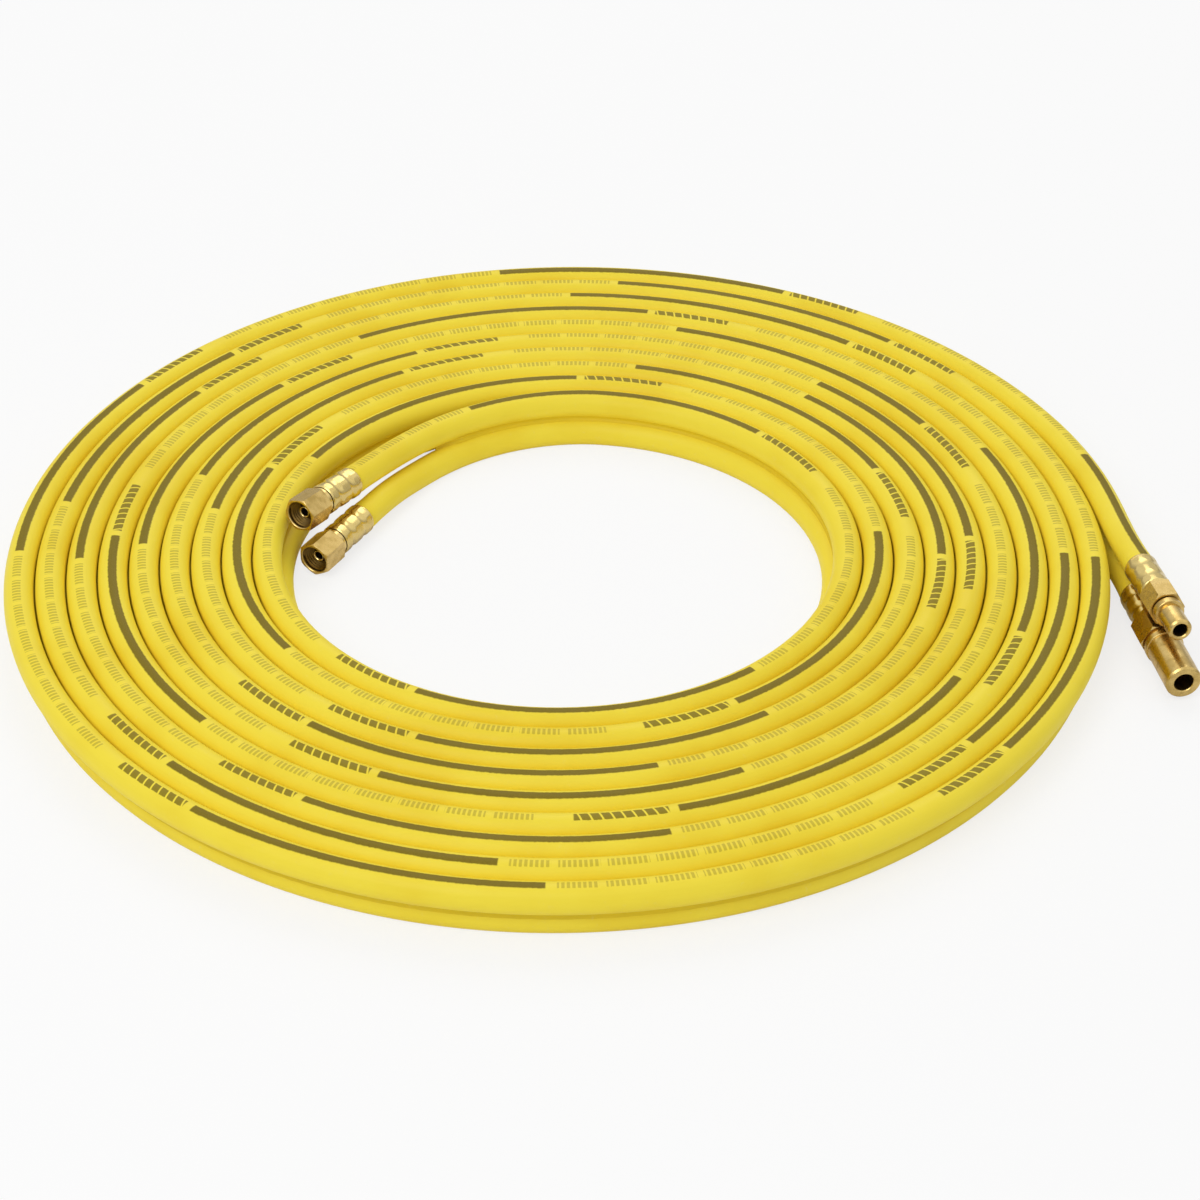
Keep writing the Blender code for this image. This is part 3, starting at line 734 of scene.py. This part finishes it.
# %% Rubber group
def rubber_group():
    inputs = {
        "Place": ("NodeSocketVector", None),
        "Wrap": ("NodeSocketVector", None),
        "Yellow": ("NodeSocketColor", (0.88, 0.72, 0.05, 1.0)),
        "Warm": ("NodeSocketColor", (0.86, 0.60, 0.03, 1.0)),
        "Dust": ("NodeSocketFloat", 0.10),
    }
    outputs = {"Color": "NodeSocketColor", "Roughness": "NodeSocketFloat", "Height": "NodeSocketFloat"}
    tree, given, result = new_group("yellow_rubber", inputs, outputs)
    patches = between(tree, noise(tree, given["Place"], 26.0, 3.0), 0.42, 0.72)
    colour = mix_colours(tree, sum_of(tree, "MULTIPLY", patches, 0.45), given["Yellow"], given["Warm"])
    stretch = add_node(tree, "ShaderNodeMapping", {"Vector": given["Wrap"], "Scale": (9.0, 42.0, 1.0)})
    marks = noise(tree, stretch.outputs[0], 1.0, 2.0)
    colour = mix_colours(tree, sum_of(tree, "MULTIPLY", between(tree, marks, 0.5, 0.8), 0.10), colour, given["Warm"])
    specks = between(tree, noise(tree, given["Place"], 420.0, 4.0, 0.7), 0.58, 0.78)
    dust = sum_of(tree, "MULTIPLY", specks, given["Dust"])
    colour = mix_colours(tree, dust, colour, (0.90, 0.82, 0.42, 1.0))
    tree.links.new(colour, result["Color"])
    rough = sum_of(tree, "MULTIPLY_ADD", noise(tree, given["Place"], 60.0), 0.22, 0.34)
    tree.links.new(sum_of(tree, "ADD", rough, dust), result["Roughness"])
    grain = sum_of(tree, "MULTIPLY", noise(tree, given["Place"], 1500.0), 0.25)
    tree.links.new(sum_of(tree, "ADD", sum_of(tree, "MULTIPLY", marks, 0.6), grain), result["Height"])
    return tree


RUBBER = rubber_group()
print("rubber group has", len(RUBBER.nodes), "nodes")

# %% [markdown]
# ## The print on the upper line
# A dark olive line is printed along the top, broken at a steady repeat of 276 mm: a solid bar of
# 115 mm, a short bold block, and a long fainter stretch. Plain slanted strokes make the block, and
# equal groups of fine ticks make the faint stretch. All of it follows the UV map, so it bends with
# the hose.

# %% Print group
CYCLE = 275.8
PRINT_START = 227.5


def band(tree, value, low, high, soft=0.25):
    """1 where the value is between low and high, with soft edges."""
    rising = between(tree, value, low - soft, low + soft)
    falling = between(tree, value, high - soft, high + soft)
    return sum_of(tree, "SUBTRACT", rising, falling)


def print_group(first_lap_length):
    inputs = {"Place": ("NodeSocketVector", None), "Wrap": ("NodeSocketVector", None)}
    tree, given, result = new_group("olive_print", inputs, {"Ink": "NodeSocketFloat"})
    split = add_node(tree, "ShaderNodeSeparateXYZ", {0: given["Wrap"]}).outputs
    travelled = sum_of(tree, "MULTIPLY", split[0], 1000.0)
    begun = sum_of(tree, "SUBTRACT", travelled, first_lap_length + PRINT_START - 20 * CYCLE)
    place = sum_of(tree, "MODULO", begun, CYCLE)
    ragged = sum_of(tree, "MULTIPLY_ADD", noise(tree, given["Place"], 900.0), 0.5, -0.25)
    across = sum_of(tree, "MULTIPLY_ADD", split[1], 31.2, -15.6)
    side = sum_of(tree, "ADD", sum_of(tree, "ABSOLUTE", across), ragged)
    bar = sum_of(tree, "MULTIPLY", band(tree, place, 0.5, 115.0), band(tree, side, -9.0, 1.5, 0.25))
    slanted = sum_of(tree, "MULTIPLY_ADD", across, 0.35, place)
    strokes = sum_of(tree, "PINGPONG", slanted, 1.65)
    block = sum_of(tree, "MULTIPLY", band(tree, place, 118.0, 147.0), between(tree, strokes, 0.22, 0.42))
    block = sum_of(tree, "MULTIPLY", block, band(tree, side, -9.0, 1.55, 0.15))
    ticks = between(tree, sum_of(tree, "PINGPONG", place, 0.8), 0.22, 0.42)
    groups = between(tree, sum_of(tree, "PINGPONG", sum_of(tree, "SUBTRACT", place, 158.0), 7.25), 0.9, 1.1)
    scale = sum_of(tree, "MULTIPLY", sum_of(tree, "MULTIPLY", ticks, groups), band(tree, place, 158.0, 273.0))
    scale = sum_of(tree, "MULTIPLY", scale, band(tree, side, -9.0, 1.45, 0.15))
    ink = sum_of(tree, "MAXIMUM", bar, sum_of(tree, "MULTIPLY", block, 0.9))
    ink = sum_of(tree, "MAXIMUM", ink, sum_of(tree, "MULTIPLY", scale, 0.42))
    worn = sum_of(tree, "MULTIPLY_ADD", noise(tree, given["Place"], 2600.0, 3.0, 0.7), -0.25, 1.1)
    tree.links.new(sum_of(tree, "MULTIPLY", ink, worn), result["Ink"])
    return tree


def length_before_spiral(points, lap):
    """Length of the upper line before it is fully in the spiral, in mm."""
    place = upper_at(lap)
    marks = lengths_along(points)
    nearest = min(range(len(points) // 4), key=lambda k: (points[k] - place).length)
    return marks[nearest] * 1000


PRINT = print_group(length_before_spiral(upper_points, LEAD_IN_LAP))
print("print starts", round(length_before_spiral(upper_points, LEAD_IN_LAP)), "mm from the hose's end")

# %% Rubber materials
def rubber_material(name, yellow, warm, dust, printed):
    material, tree, shader = new_material(name)
    wrap = add_node(tree, "ShaderNodeUVMap", uv_map="along_and_around").outputs[0]
    place = add_node(tree, "ShaderNodeTexCoord").outputs["Object"]
    feeds = {"Place": place, "Wrap": wrap, "Yellow": yellow, "Warm": warm, "Dust": dust}
    rubber = place_group(tree, RUBBER, feeds).outputs
    colour, rough = rubber["Color"], rubber["Roughness"]
    if printed:
        ink = place_group(tree, PRINT, {"Place": place, "Wrap": wrap}).outputs["Ink"]
        colour = mix_colours(tree, ink, colour, (0.195, 0.137, 0.003, 1.0))
        rough = sum_of(tree, "MULTIPLY_ADD", ink, 0.08, rough)
    tree.links.new(colour, shader.inputs["Base Color"])
    tree.links.new(rough, shader.inputs["Roughness"])
    bump = add_node(tree, "ShaderNodeBump", {"Height": rubber["Height"], "Strength": 0.25, "Distance": 0.00008})
    tree.links.new(bump.outputs[0], shader.inputs["Normal"])
    shader.inputs["Specular IOR Level"].default_value = 0.2
    return material


YELLOW = (0.95, 0.77, 0.055, 1.0)
WARM = (0.86, 0.62, 0.02, 1.0)
give(upper_line, rubber_material("printed_yellow_rubber", YELLOW, WARM, 0.10, True))
give(lower_line, rubber_material("plain_yellow_rubber", YELLOW, WARM, 0.14, False))
# the web is the same rubber as the lines; its darker yellow is painted shade in the groove between them
give(web, rubber_material("web_rubber_painted_shade", (0.78, 0.58, 0.02, 1.0), WARM, 0.12, False))

# %% [markdown]
# ## The look of brass
# Turned brass is bright where the tool has just passed and duller where it has been handled. Fine
# rings run round it, there are soft brown patches, and the crimped sleeves are paler and shinier.
# Bores and threads are given painted shade: everything nearer the axis than a given radius is darkened to a deep
# brown. One group makes all this from the place stored on each piece, so that the rings go round its axis.

# %% Brass group
def brass_group():
    inputs = {
        "Bench": ("NodeSocketVector", None),
        "Bright": ("NodeSocketColor", (0.87, 0.66, 0.30, 1.0)),
        "Dull": ("NodeSocketColor", (0.60, 0.40, 0.16, 1.0)),
        "Handled": ("NodeSocketFloat", 0.5),
        "Ground": ("NodeSocketFloat", 0.24),
        "Hollow": ("NodeSocketFloat", 0.0),
    }
    outputs = {"Color": "NodeSocketColor", "Roughness": "NodeSocketFloat", "Height": "NodeSocketFloat"}
    tree, given, result = new_group("worked_brass", inputs, outputs)
    split = add_node(tree, "ShaderNodeSeparateXYZ", {0: given["Bench"]}).outputs
    line = add_node(tree, "ShaderNodeCombineXYZ", {"Z": split[2]}).outputs[0]
    rings = noise(tree, line, 5200.0, 2.0, 0.6)
    patches = between(tree, noise(tree, given["Bench"], 260.0, 4.0, 0.6), 0.38, 0.70)
    share = sum_of(tree, "MULTIPLY", patches, given["Handled"])
    colour = mix_colours(tree, share, given["Bright"], given["Dull"])
    flat = add_node(tree, "ShaderNodeCombineXYZ", {"X": split[0], "Y": split[1]}).outputs[0]
    radius = add_node(tree, "ShaderNodeVectorMath", {0: flat}, operation="LENGTH").outputs["Value"]
    within = sum_of(tree, "SUBTRACT", given["Hollow"], radius)
    # painted shade: bores and threads, nearer the axis than Hollow, are darkened to a deep brown and made a little
    # rougher
    painted_bore_shade = sum_of(tree, "MULTIPLY", between(tree, within, -0.0001, 0.0001), 0.85)
    colour = mix_colours(tree, painted_bore_shade, colour, (0.105, 0.055, 0.010, 1.0))
    tree.links.new(colour, result["Color"])
    rough = sum_of(tree, "MULTIPLY_ADD", share, 0.22, given["Ground"])
    rough = sum_of(tree, "MULTIPLY_ADD", painted_bore_shade, 0.15, rough)
    rough = sum_of(tree, "MULTIPLY_ADD", sum_of(tree, "SUBTRACT", rings, 0.5), 0.14, rough)
    tree.links.new(rough, result["Roughness"])
    tree.links.new(rings, result["Height"])
    return tree


BRASS = brass_group()


def brass_material(name, bright, dull, handled, ground, hollow, ring_depth):
    material, tree, shader = new_material(name)
    bench = add_node(tree, "ShaderNodeAttribute", attribute_name="bench_place").outputs["Vector"]
    feeds = {"Bench": bench, "Bright": bright, "Dull": dull, "Handled": handled, "Ground": ground}
    feeds["Hollow"] = hollow * MM
    brass = place_group(tree, BRASS, feeds).outputs
    tree.links.new(brass["Color"], shader.inputs["Base Color"])
    tree.links.new(brass["Roughness"], shader.inputs["Roughness"])
    bump = add_node(tree, "ShaderNodeBump", {"Height": brass["Height"], "Strength": 0.3, "Distance": ring_depth})
    tree.links.new(bump.outputs[0], shader.inputs["Normal"])
    shader.inputs["Metallic"].default_value = 1.0
    return material


BRIGHT, DULL = (0.70, 0.50, 0.18, 1.0), (0.42, 0.28, 0.07, 1.0)
# the number after the roughness is the bore's radius, inside which painted shade darkens the brass
nut_brass = brass_material("nut_brass", BRIGHT, DULL, 0.7, 0.24, 4.85, 0.00002)
stem_brass = brass_material("stem_brass", (0.80, 0.60, 0.24, 1.0), DULL, 0.3, 0.20, 1.55, 0.00002)
slim_brass = brass_material("slim_body_brass", BRIGHT, DULL, 0.6, 0.22, 2.4, 0.00002)
stout_brass = brass_material("stout_body_brass", BRIGHT, DULL, 0.6, 0.22, 3.25, 0.00002)
sleeve_brass = brass_material("crimped_brass", (0.74, 0.57, 0.22, 1.0), (0.56, 0.42, 0.13, 1.0), 0.35, 0.20, 0.0, 0.00001)
for piece in (upper_nut, lower_nut, upper_thread, lower_thread):
    give(piece, nut_brass)
for piece in (upper_stem, lower_stem):
    give(piece, stem_brass)
give(upper_body, slim_brass)
give(lower_body, stout_brass)
for piece in (upper_sleeve, lower_sleeve, upper_cuff, lower_cuff):
    give(piece, sleeve_brass)
print("materials:", len(bpy.data.materials))

# %% [markdown]
# ## Floor and light
# The photograph is a product shot on white with very soft light. The floor is a plain white sheet
# that keeps a faint shadow, and the world is white to the camera. In reflections it is white
# overhead and dimmer towards the horizon, as a white tent in a room is, which gives the brass its
# darker sides. Two wide soft lamps give the tubes their shape, and all the light together stays
# near a strength of one, so that colours come out about as they are written.

# %% Make the floor, world and lamps
bpy.ops.object.select_all(action="DESELECT")
bpy.ops.mesh.primitive_plane_add(size=12.0)
floor = bpy.context.object
floor.name = "studio_floor"
material, tree, shader = new_material("white_sheet")
shader.inputs["Base Color"].default_value = (0.93, 0.93, 0.93, 1.0)
shader.inputs["Roughness"].default_value = 0.9
shader.inputs["Specular IOR Level"].default_value = 0.1
glow = add_node(tree, "ShaderNodeEmission", {"Color": (1.0, 1.0, 1.0, 1.0), "Strength": 1.0}).outputs[0]
watched = add_node(tree, "ShaderNodeLightPath").outputs["Is Camera Ray"]
share = sum_of(tree, "MULTIPLY", watched, 0.75)
lit = add_node(tree, "ShaderNodeMixShader", {0: share, 1: shader.outputs[0], 2: glow}).outputs[0]
tree.links.new(lit, tree.nodes["Material Output"].inputs["Surface"])
give(floor, material)

world = bpy.data.worlds.new("white_studio")
bpy.context.scene.world = world
world.use_nodes = True
sky = world.node_tree
background = sky.nodes["Background"]
ray = add_node(sky, "ShaderNodeLightPath").outputs
rising = add_node(sky, "ShaderNodeSeparateXYZ", {0: add_node(sky, "ShaderNodeTexCoord").outputs["Generated"]})
overhead = sum_of(sky, "MULTIPLY_ADD", between(sky, rising.outputs[2], 0.02, 0.55), 0.6, 0.4)
mirrored = sum_of(sky, "MULTIPLY", ray["Is Glossy Ray"], overhead)
seen = sum_of(sky, "MAXIMUM", ray["Is Camera Ray"], ray["Is Transmission Ray"])
lighting = sum_of(sky, "MULTIPLY", sum_of(sky, "SUBTRACT", 1.0, ray["Is Glossy Ray"]), 0.58)
strength = sum_of(sky, "MAXIMUM", sum_of(sky, "MAXIMUM", seen, mirrored), lighting)
background.inputs["Color"].default_value = (1.0, 1.0, 1.0, 1.0)
sky.links.new(strength, background.inputs["Strength"])


def soft_lamp(name, place, target, size, power):
    bpy.ops.object.light_add(type="AREA", location=place)
    lamp = bpy.context.object
    lamp.name = name
    lamp.rotation_euler = (Vector(target) - Vector(place)).to_track_quat("-Z", "Y").to_euler()
    lamp.data.size = size
    lamp.data.energy = power
    return lamp


soft_lamp("window_front", (-0.1, -1.1, 1.35), (0, 0, 0), 1.0, 8.6)
soft_lamp("window_back", (-0.45, 1.1, 1.4), (0, 0, 0), 1.1, 6.2)
bpy.context.scene.view_settings.view_transform = "Standard"
